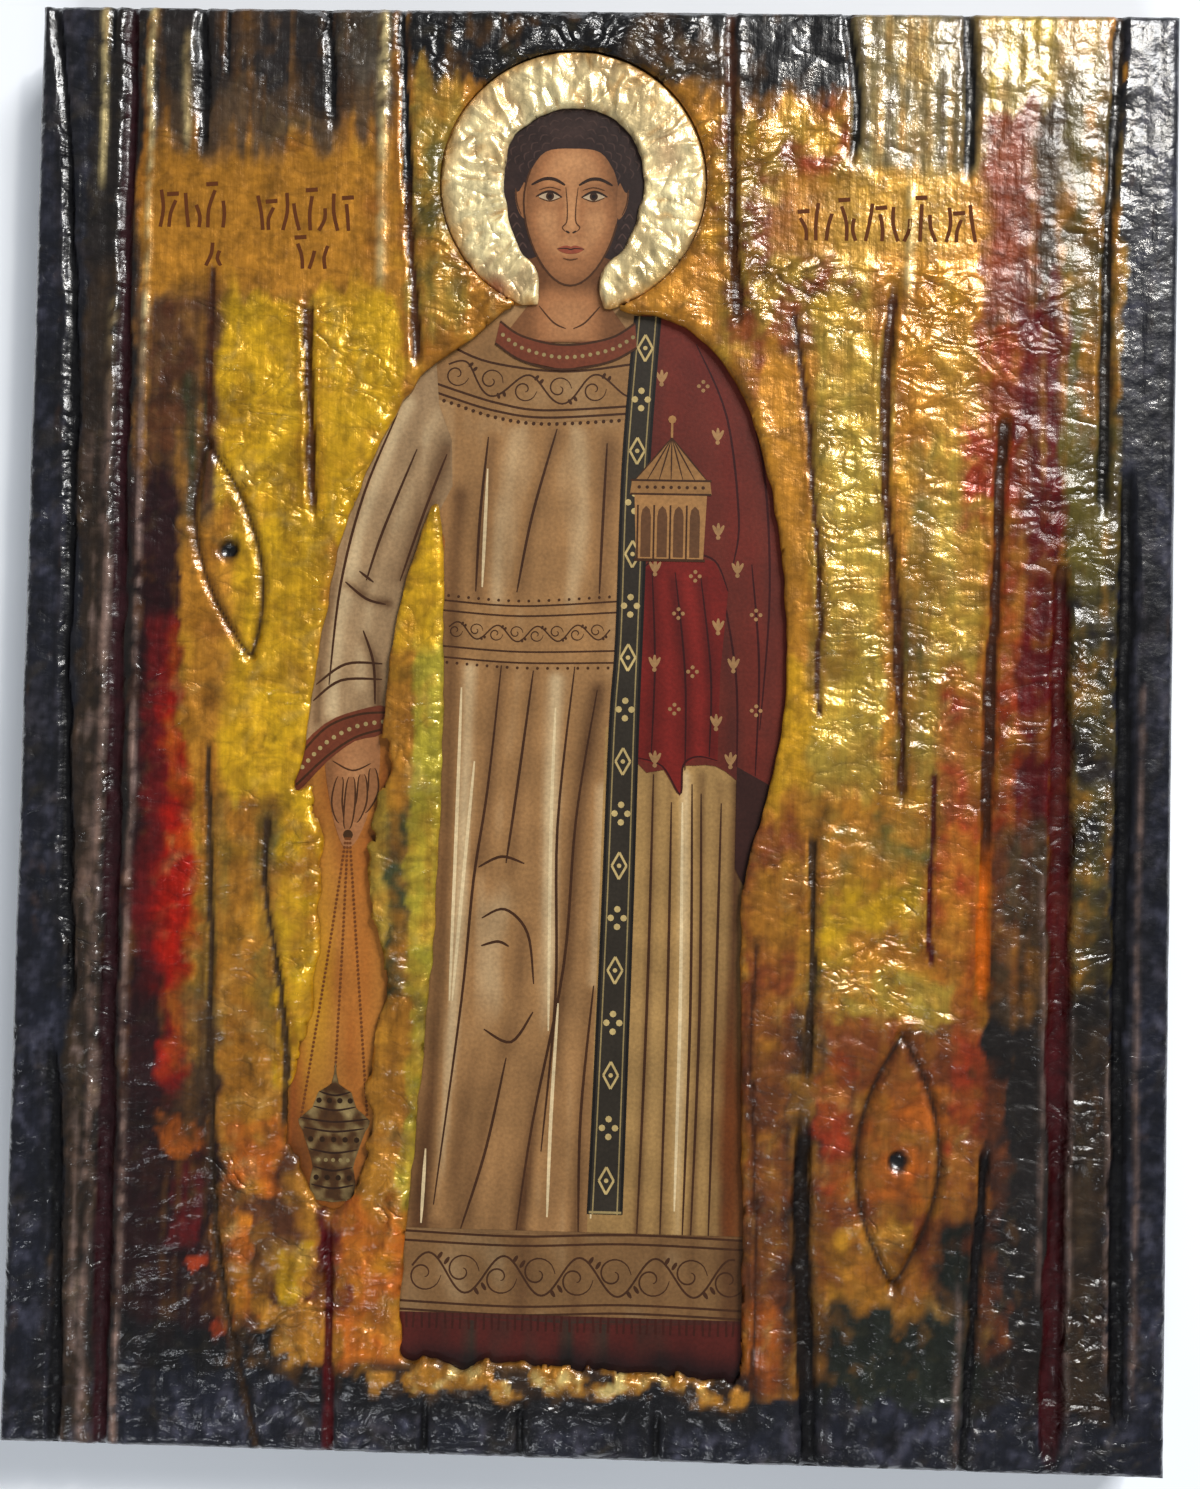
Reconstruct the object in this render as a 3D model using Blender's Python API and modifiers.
"""Icon panel: a wooden board, a printed sheet laid on it, a carved and gilded cover over both, and a halo.

The panel lies on its back. X runs across it, Y from its foot to its top and Z out of its face. The origin is
the centre of its back. Run it with: blender --background --python part.py
"""

import math

import bmesh
import bpy
from mathutils import Matrix

# Driving sizes, in metres
PANEL_WIDTH = 0.250
PANEL_HEIGHT = 0.315
BOARD_THICKNESS = 0.0150
BOARD_ROUNDING = 0.0016
CLEARANCE = 0.0003
SHEET_THICKNESS = 0.0008
SHEET_MARGIN = 0.012
COVER_OVER_SHEET = 0.0024
COVER_ROUNDING = 0.0026
SWELL_HEIGHT = 0.0003
HALO_RADIUS = 0.0290
HALO_THICKNESS = 0.0016
HALO_RIPPLE_HEIGHT = 0.0004
KNOT_LINE_WIDTH = 0.0017
NAIL_HOLE_RADIUS = 0.0022

# Levels above the surface that the back lies on
SHEET_BOTTOM = BOARD_THICKNESS + CLEARANCE
SHEET_TOP = SHEET_BOTTOM + SHEET_THICKNESS
COVER_BOTTOM = BOARD_THICKNESS + CLEARANCE
POCKET_TOP = SHEET_TOP + CLEARANCE
COVER_TOP = POCKET_TOP + COVER_OVER_SHEET
HALO_BOTTOM = SHEET_TOP + CLEARANCE

# How deep the carving goes into the part of the cover that lies over the sheet
GROOVE_DEPTH = 0.62 * COVER_OVER_SHEET
GROOVE_DEPTH_PER_WIDTH = 0.4
KNOT_LINE_DEPTH = 0.45 * COVER_OVER_SHEET
NAIL_HOLE_DEPTH = 0.75 * COVER_OVER_SHEET

# The face is drawn in shares of the panel: 250 cells across and 315 up from its centre, a millimetre each
# at the real size, so that the carving and the figure follow the panel when it is resized.
CELL_X = PANEL_WIDTH / 250
CELL_Y = PANEL_HEIGHT / 315

# Gouged grooves, in cells: name, width, the height of both ends, where the line stands at its upper and its
# lower end, how far it bows sideways, and how far it sways like an S
GROOVES = [
    ("left_rim_upper", 3.2, 160, -64, -122.0, -111.4, 1.6, 1.6),
    ("left_rim_lower", 3.2, -70, -160, -115.7, -112.6, 1.2, 0.0),
    ("left_long", 3.2, 160, -160, -104.6, -101.8, -0.4, -0.1),
    ("left_top_narrow", 1.8, 160, 145, -108.5, -108.3, 0.0, 0.0),
    ("left_short", 3.2, 160, 123, -89.0, -88.0, 0.0, 0.0),
    ("left_top_thin", 1.8, 160, 140, -83.0, -83.0, 0.0, 0.0),
    ("left_top_inner", 2.8, 160, 129, -61.6, -59.5, 0.2, 0.2),
    ("beside_halo", 3.4, 160, 77, -44.8, -39.5, -0.6, -0.2),
    ("above_sleeve", 3.2, 94, 43, -64.1, -61.5, -0.4, 0.0),
    ("left_crease", 1.4, 100, 60, -85.0, -85.5, 0.3, 0.0),
    ("right_of_halo", 2.6, 160, 87, 27.4, 30.2, -1.0, -0.2),
    ("right_top_inner", 3.0, 160, 123, 51.9, 53.9, 1.4, -0.2),
    ("right_top_outer", 2.8, 160, 120, 78.5, 78.9, 0.6, 0.0),
    ("right_amber", 3.0, 98, -16, 63.9, 67.0, -2.0, -1.3),
    ("beside_cloak", 1.8, 92, 2, 41.8, 48.9, 1.8, 0.0),
    ("right_orange", 3.0, 71, -58, 87.7, 84.5, -0.6, 0.0),
    ("right_rim_upper", 3.2, 160, 47, 112.1, 108.9, -1.0, -0.2),
    ("right_rim_lower", 3.2, 58, -148, 114.6, 115.2, 0.2, 0.1),
    ("right_red", 3.8, 39, -156, 100.1, 100.4, 0.8, -0.2),
    ("left_middle", 2.6, -4, -160, -83.5, -67.2, -5.1, 1.6),
    ("beside_censer", 2.2, -19, -89, -69.9, -65.1, 0.7, -1.6),
    ("right_inner_upper", 2.4, -21, -76, 47.6, 47.9, 0.7, 0.0),
    ("right_inner_lower", 4.2, -81, -160, 47.0, 50.0, -0.6, -0.2),
    ("beside_robe", 1.4, -45, -142, 36.4, 37.2, 0.0, -0.8),
    ("right_thin", 1.6, -7, -51, 73.5, 73.6, -0.3, 0.2),
    ("right_foot", 2.8, -87, -160, 85.8, 81.9, 0.1, 0.0),
    ("foot_left", 2.4, -107, -160, -54.0, -53.0, 0.0, 0.0),
    ("foot_one", 2.4, -144, -160, -32.5, -32.5, 0.0, 0.0),
    ("foot_two", 2.4, -143, -160, -12.0, -12.0, 0.0, 0.0),
    ("foot_three", 2.4, -145, -160, 17.0, 17.0, 0.0, 0.0),
]

# Knots in the wood, in cells: the middle of the eye, its half width and half height, and how far its top leans
KNOTS = [
    ("left_knot", -80.0, 37.0, 6.6, 23.5, -5.4),
    ("right_knot", 67.4, -91.5, 8.8, 26.5, 0.65),
]

# The opening round the robed figure, in cells, once round from the left of its neck
ROBE_OPENING = [
    (-17, 92), (-28, 84), (-38, 77), (-47, 62), (-55, 42), (-59.4, 18), (-62.4, -5), (-64.2, -15), (-57.5, -12),
    (-46.6, -7), (-44.4, 12), (-41, 31), (-34.5, 48), (-32.6, 18), (-33, -40), (-35.8, -83), (-38.2, -118),
    (-38.8, -132), (-38, -137.2), (-33, -138.2), (-14, -139.4), (5, -138.4), (28, -139.6), (33.6, -138.4),
    (34.8, -133), (34.4, -100), (33.2, -60), (33.6, -32), (38.4, -14), (41.6, 5), (41, 32), (37.4, 54),
    (31.5, 72), (23, 84), (11, 90),
]

# The opening round the raised hand and what hangs from it, in cells, once round from the cuff
CENSER_OPENING = [
    (-60, -8), (-58.5, -24), (-58.6, -40), (-58.6, -54), (-60.4, -66), (-63, -77), (-63.4, -87), (-61, -97),
    (-57, -104.5), (-51.8, -104.5), (-48, -98), (-46, -89), (-46.4, -78), (-45, -67), (-43.4, -56), (-46, -44),
    (-47.6, -32), (-46.2, -20), (-44, -4),
]

# The opening round the head, in cells, once round from its crown; the neck runs on over the halo's edge
HEAD_OPENING = [
    (-7, 136), (-16, 133), (-21.6, 125), (-21.2, 113), (-18.2, 104.6), (-13.8, 99), (-14.2, 92), (-18, 84), (4, 84),
    (0.4, 92), (0, 99), (4.6, 104.6), (8, 113), (8, 125), (2.4, 133),
]

# The inscriptions lie on two smooth patches: left, right, foot and top of each in cells
SMOOTH_PATCHES = [(-101, -50, 92, 123), (33, 88, 102, 121)]

HALO_CENTRE = (-6.6, 119.0)
HALO_STEPS = 64
HALO_RINGS = 4
HALO_RAYS = 21
GRID_CELL = 0.0150
OUTLINE_STEPS = 3
GROOVE_CELLS_PER_STEP = 15
TIP_WIDTHS = 3.0
TIP_SHARE = 0.45
CUT_OVERSHOOT = 0.004


def on_face(x, y, z=0.0):
    """A point given in cells of the face, in metres."""
    return (x * CELL_X, y * CELL_Y, z)


def clear_scene():
    for existing in list(bpy.data.objects):
        bpy.data.objects.remove(existing)


def new_collection(name):
    collection = bpy.data.collections.new(name)
    bpy.context.scene.collection.children.link(collection)
    return collection


def make_material(name, colour, metallic, roughness):
    material = bpy.data.materials.new(name)
    material.use_nodes = True
    shader = material.node_tree.nodes["Principled BSDF"]
    shader.inputs["Base Color"].default_value = (*colour, 1.0)
    shader.inputs["Metallic"].default_value = metallic
    shader.inputs["Roughness"].default_value = roughness
    return material


def link_piece(name, mesh, collection, material=None):
    piece = bpy.data.objects.new(name, mesh)
    collection.objects.link(piece)
    if material:
        mesh.materials.append(material)
    return piece


def finished_mesh(piece):
    """The closed mesh that an object's curve or modifiers make, in place of the object."""
    bpy.context.view_layer.update()
    evaluated = piece.evaluated_get(bpy.context.evaluated_depsgraph_get())
    mesh = bpy.data.meshes.new_from_object(evaluated)
    mesh.transform(piece.matrix_world)
    closed = bmesh.new()
    closed.from_mesh(mesh)
    bmesh.ops.remove_doubles(closed, verts=closed.verts, dist=1e-6)
    bmesh.ops.recalc_face_normals(closed, faces=closed.faces)
    closed.to_mesh(mesh)
    closed.free()
    bpy.data.objects.remove(piece)
    return mesh


def smooth_outline(points):
    """A smooth closed outline in metres, through points in cells."""
    count = len(points)
    outline = []
    for span in range(count):
        corners = [points[(span + offset) % count] for offset in (-1, 0, 1, 2)]
        for step in range(OUTLINE_STEPS):
            t = step / OUTLINE_STEPS
            x, y = (
                b + 0.5 * t * (c - a + t * (2 * a - 5 * b + 4 * c - d + t * (3 * (b - c) + d - a)))
                for a, b, c, d in zip(*corners)
            )
            outline.append(on_face(x, y)[:2])
    return outline


def circle(radius):
    turns = [2 * math.pi * step / HALO_STEPS for step in range(HALO_STEPS)]
    return [(radius * math.cos(turn), radius * math.sin(turn)) for turn in turns]


def make_prism(name, outline, low, high, collection):
    """An upright solid with a flat outline, from one level to another."""
    curve = bpy.data.curves.new(name, "CURVE")
    curve.dimensions = "2D"
    curve.fill_mode = "BOTH"
    curve.extrude = (high - low) / 2
    spline = curve.splines.new("POLY")
    spline.points.add(len(outline) - 1)
    for point, (x, y) in zip(spline.points, outline):
        point.co = (x, y, 0.0, 1.0)
    spline.use_cyclic_u = True
    shape = link_piece(name, curve, collection)
    shape.location.z = (low + high) / 2
    return link_piece(name, finished_mesh(shape), collection)


def make_gouge(name, line, width, depth, collection):
    """A long round cutter along a line in cells. It leaves a groove that runs out at its ends on the face."""
    lengths = [0.0]
    for (x0, y0), (x1, y1) in zip(line, line[1:]):
        lengths.append(lengths[-1] + math.hypot((x1 - x0) * CELL_X, (y1 - y0) * CELL_Y))
    curve = bpy.data.curves.new(name, "CURVE")
    curve.dimensions = "3D"
    curve.bevel_depth = 1.0
    curve.bevel_resolution = 1
    curve.use_fill_caps = True
    spline = curve.splines.new("POLY")
    spline.points.add(len(line) - 1)
    for point, (x, y), along in zip(spline.points, line, lengths):
        to_upper = along if abs(line[0][1] * CELL_Y) < PANEL_HEIGHT / 2 else PANEL_HEIGHT
        to_lower = lengths[-1] - along if abs(line[-1][1] * CELL_Y) < PANEL_HEIGHT / 2 else PANEL_HEIGHT
        share = min(1.0, TIP_SHARE + min(to_upper, to_lower) / (TIP_WIDTHS * width))
        half = share * width / 2
        deep = share * depth
        radius = (half**2 + deep**2) / (2 * deep)
        point.co = (*on_face(x, y, COVER_TOP + radius - deep), 1.0)
        point.radius = radius
    return link_piece(name, finished_mesh(link_piece(name, curve, collection)), collection)


def groove_line(upper, lower, x_upper, x_lower, bow, sway):
    """The line of a groove in cells, with a short first and last step for its ends."""
    steps = max(2, round((upper - lower) / GROOVE_CELLS_PER_STEP))
    shares = [0.0, 0.3 / steps] + [step / steps for step in range(1, steps)] + [1 - 0.3 / steps, 1.0]
    line = []
    for t in shares:
        x = x_upper + (x_lower - x_upper) * t + 4 * bow * t * (1 - t) + sway * math.sin(2 * math.pi * t)
        line.append((x, upper + (lower - upper) * t))
    return line


def knot_line(x, y, half_width, half_height, lean, side, steps=10):
    """One of the two bowed lines of a knot in cells, from its top to its foot."""
    line = []
    for step in range(steps + 1):
        t = 1 - 2 * step / steps
        line.append((x + lean * t + side * half_width * (1 - t * t), y + half_height * t))
    return line


def add_cut(piece, operand):
    """Cuts one solid, or every solid of a collection, out of a piece."""
    modifier = piece.modifiers.new("cut", "BOOLEAN")
    modifier.operation = "DIFFERENCE"
    modifier.solver = "EXACT"
    if isinstance(operand, bpy.types.Collection):
        modifier.operand_type = "COLLECTION"
        modifier.collection = operand
    else:
        modifier.object = operand


def box_mesh(name, width, height, low, high):
    mesh = bpy.data.meshes.new(name)
    box = bmesh.new()
    bmesh.ops.create_cube(box, size=1.0, matrix=Matrix.Diagonal((width, height, high - low, 1.0)))
    bmesh.ops.translate(box, verts=box.verts, vec=(0.0, 0.0, (low + high) / 2))
    box.to_mesh(mesh)
    box.free()
    return mesh


def make_board(parts, wood):
    board = link_piece("board", box_mesh("board", PANEL_WIDTH, PANEL_HEIGHT, 0.0, BOARD_THICKNESS), parts, wood)
    rounding = board.modifiers.new("rounded_edges", "BEVEL")
    rounding.width = BOARD_ROUNDING
    rounding.segments = 2
    return board


def make_printed_sheet(parts, ink):
    width = PANEL_WIDTH - 2 * SHEET_MARGIN
    height = PANEL_HEIGHT - 2 * SHEET_MARGIN
    mesh = box_mesh("printed_sheet", width, height, SHEET_BOTTOM, SHEET_TOP)
    return link_piece("printed_sheet", mesh, parts, ink)


def stations(length):
    """Where the cover's cross lines stand along one of its sides: close at the rounded rims, even between."""
    rims = [length / 2, length / 2 - 0.2 * COVER_ROUNDING, length / 2 - COVER_ROUNDING]
    inner = length - 2 * COVER_ROUNDING
    count = round(inner / GRID_CELL)
    between = [inner * (step / count - 0.5) for step in range(1, count)]
    return [-rim for rim in rims] + between + rims[::-1]


def rim_drop(x, y):
    """How far the rounded rim has fallen at a point of the cover, in metres."""
    inside = min(PANEL_WIDTH / 2 - abs(x), PANEL_HEIGHT / 2 - abs(y))
    short = max(0.0, COVER_ROUNDING - inside)
    return COVER_ROUNDING - math.sqrt(COVER_ROUNDING**2 - short**2)


def swell(x, y):
    """How the gilded face rises and falls at a point of it, from -1 to 1. It is still where the words stand."""
    across, up = x / CELL_X, y / CELL_Y
    for left, right, foot, top in SMOOTH_PATCHES:
        if left <= across <= right and foot <= up <= top:
            return 0.0
    broad = math.sin(0.11 * across + 1.3 * math.sin(0.043 * up)) * math.sin(0.083 * up + 0.7)
    fine = math.sin(0.31 * across - 0.17 * up + 1.9) * math.sin(0.23 * up + 0.09 * across)
    return 0.6 * broad + 0.4 * fine


def cover_blank():
    """The cover before it is cut: a swelling face with rounded rims, on a flat underside."""
    columns, rows = stations(PANEL_WIDTH), stations(PANEL_HEIGHT)
    blank = bmesh.new()
    bmesh.ops.create_grid(blank, x_segments=len(columns) - 1, y_segments=len(rows) - 1, size=0.5)
    for vertex in blank.verts:
        x = columns[round((vertex.co.x + 0.5) * (len(columns) - 1))]
        y = rows[round((vertex.co.y + 0.5) * (len(rows) - 1))]
        fallen = rim_drop(x, y)
        height = COVER_TOP - fallen + (0.0 if fallen > 0 else SWELL_HEIGHT * swell(x, y))
        vertex.co = (x, y, height)
    drawn = bmesh.ops.extrude_face_region(blank, geom=list(blank.faces))["geom"]
    for item in drawn:
        if isinstance(item, bmesh.types.BMVert):
            item.co.z = COVER_BOTTOM
    bmesh.ops.dissolve_limit(blank, angle_limit=1e-4, verts=blank.verts, edges=blank.edges)
    bmesh.ops.triangulate(blank, faces=blank.faces)
    bmesh.ops.recalc_face_normals(blank, faces=blank.faces)
    mesh = bpy.data.meshes.new("gilt_cover")
    blank.to_mesh(mesh)
    blank.free()
    return mesh


def make_gilt_cover(parts, openings, carving, gilding):
    cover = link_piece("gilt_cover", cover_blank(), parts, gilding)
    pocket_width = PANEL_WIDTH - 2 * SHEET_MARGIN + 2 * CLEARANCE
    pocket_height = PANEL_HEIGHT - 2 * SHEET_MARGIN + 2 * CLEARANCE
    pocket = box_mesh("sheet_pocket", pocket_width, pocket_height, COVER_BOTTOM - CUT_OVERSHOOT, POCKET_TOP)
    add_cut(cover, link_piece("sheet_pocket", pocket, openings))
    through = (COVER_BOTTOM - CUT_OVERSHOOT, COVER_TOP + CUT_OVERSHOOT)
    add_cut(cover, make_prism("robe_opening", smooth_outline(ROBE_OPENING), *through, openings))
    add_cut(cover, make_prism("censer_opening", smooth_outline(CENSER_OPENING), *through, openings))
    halo_opening = make_prism("halo_opening", circle(HALO_RADIUS + CLEARANCE), *through, openings)
    halo_opening.location = on_face(*HALO_CENTRE)
    add_cut(cover, halo_opening)

    for name, width, upper, lower, x_upper, x_lower, bow, sway in GROOVES:
        line = groove_line(upper, lower, x_upper, x_lower, bow, sway)
        wide = width * CELL_X
        make_gouge(name, line, wide, min(GROOVE_DEPTH, GROOVE_DEPTH_PER_WIDTH * wide), carving)
    for name, x, y, half_width, half_height, lean in KNOTS:
        for side, label in ((-1, "left"), (1, "right")):
            line = knot_line(x, y, half_width, half_height, lean, side)
            make_gouge(f"{name}_{label}", line, KNOT_LINE_WIDTH, KNOT_LINE_DEPTH, carving)
        ball = bmesh.new()
        bmesh.ops.create_uvsphere(ball, u_segments=12, v_segments=8, radius=NAIL_HOLE_RADIUS)
        mesh = bpy.data.meshes.new(f"{name}_hole")
        ball.to_mesh(mesh)
        ball.free()
        hole = link_piece(f"{name}_hole", mesh, carving)
        hole.location = on_face(x, y, COVER_TOP + NAIL_HOLE_RADIUS - NAIL_HOLE_DEPTH)
    add_cut(cover, carving)
    return cover


def halo_blank(collection):
    """A round plate turned about its axis, with its face pressed into rays."""
    profile = bmesh.new()
    top = HALO_BOTTOM + HALO_THICKNESS
    line = [(0.0, HALO_BOTTOM), (HALO_RADIUS, HALO_BOTTOM)]
    line += [(HALO_RADIUS * ring / HALO_RINGS, top) for ring in range(HALO_RINGS, -1, -1)]
    corners = [profile.verts.new((radius, 0.0, height)) for radius, height in line]
    for first, second in zip(corners, corners[1:]):
        profile.edges.new((first, second))
    mesh = bpy.data.meshes.new("halo_profile")
    profile.to_mesh(mesh)
    profile.free()
    turned = link_piece("halo_profile", mesh, collection)
    screw = turned.modifiers.new("turned", "SCREW")
    screw.steps = HALO_STEPS
    screw.render_steps = HALO_STEPS
    screw.use_merge_vertices = True
    screw.merge_threshold = 1e-6
    blank = finished_mesh(turned)
    for vertex in blank.vertices:
        if vertex.co.z > (HALO_BOTTOM + top) / 2:
            outward = math.hypot(vertex.co.x, vertex.co.y) / HALO_RADIUS
            turn = math.atan2(vertex.co.y, vertex.co.x)
            ray = math.sin(HALO_RAYS * turn + 2.2 * math.sin(3 * turn) + 1.4 * outward)
            vertex.co.z += HALO_RIPPLE_HEIGHT * outward * ray
    blank.name = "halo"
    return blank


def make_halo(parts, openings, gold):
    halo = link_piece("halo", halo_blank(openings), parts, gold)
    halo.location = on_face(*HALO_CENTRE)
    through = (HALO_BOTTOM - CUT_OVERSHOOT, COVER_TOP + CUT_OVERSHOOT)
    add_cut(halo, make_prism("head_opening", smooth_outline(HEAD_OPENING), *through, openings))
    neck = make_prism("neck_opening", smooth_outline(ROBE_OPENING), *through, openings)
    add_cut(halo, neck)
    return halo


def main():
    clear_scene()
    parts = new_collection("icon_panel")
    openings = new_collection("opening_cutters")
    carving = new_collection("carving_cutters")
    wood = make_material("stained_wood", (0.060, 0.032, 0.018), 0.0, 0.55)
    ink = make_material("printed_paper", (0.420, 0.270, 0.130), 0.0, 0.45)
    gilding = make_material("stained_gilding", (0.560, 0.340, 0.060), 0.85, 0.32)
    gold = make_material("bright_gilding", (0.830, 0.600, 0.200), 0.95, 0.25)
    make_board(parts, wood)
    make_printed_sheet(parts, ink)
    make_gilt_cover(parts, openings, carving, gilding)
    make_halo(parts, openings, gold)
    for collection in (openings, carving):
        collection.hide_render = True
        for cutter in collection.objects:
            cutter.display_type = "WIRE"


main()
